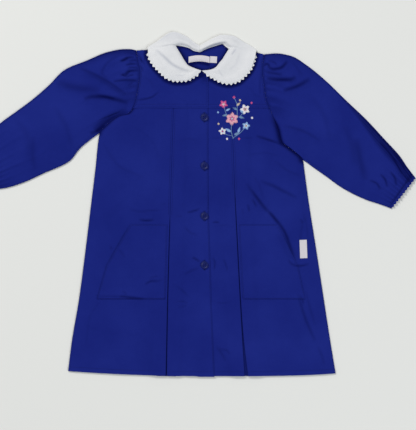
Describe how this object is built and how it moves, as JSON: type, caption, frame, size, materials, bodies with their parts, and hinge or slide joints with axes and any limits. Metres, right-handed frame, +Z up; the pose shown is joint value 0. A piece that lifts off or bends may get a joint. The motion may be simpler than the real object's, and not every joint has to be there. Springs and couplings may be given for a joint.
{
  "type": "school smock",
  "caption": "Child's navy school smock lying flat on its back, with a white Peter Pan collar, puffed long sleeves and a buttoned, box-pleated front.",
  "frame": {"origin": "bottom centre of the bounding box, on the surface that the smock lies on", "axes": "+X across the shoulders towards the wearer's left, +Y from the hem to the neck, +Z up from the surface, through the back to the front"},
  "size_m": [0.8852, 0.6884, 0.0099],
  "materials": {
    "smock_cloth": "plain poplin weave, matt with a faint sheen",
    "collar_cloth": "white poplin, matt",
    "collar_trim": "white zigzag braid, matt",
    "label_cloth": "woven satin tape, blank",
    "button": "polished blue plastic"
  },
  "bodies": {
    "root": {"back": "smock_cloth", "front_right": "smock_cloth", "front_left": "smock_cloth", "yoke_right": "smock_cloth", "yoke_left": "smock_cloth", "sleeve_right": "smock_cloth", "sleeve_left": "smock_cloth", "pocket_right": "smock_cloth", "pocket_left": "smock_cloth", "collar_right": "collar_cloth", "collar_left": "collar_cloth", "collar_trim_right": "collar_trim", "collar_trim_left": "collar_trim", "neck_label": "label_cloth", "size_label": "label_cloth", "side_label": "label_cloth", "button_1": "button", "button_2": "button", "button_3": "button", "button_4": "button"}
  },
  "joints": []
}
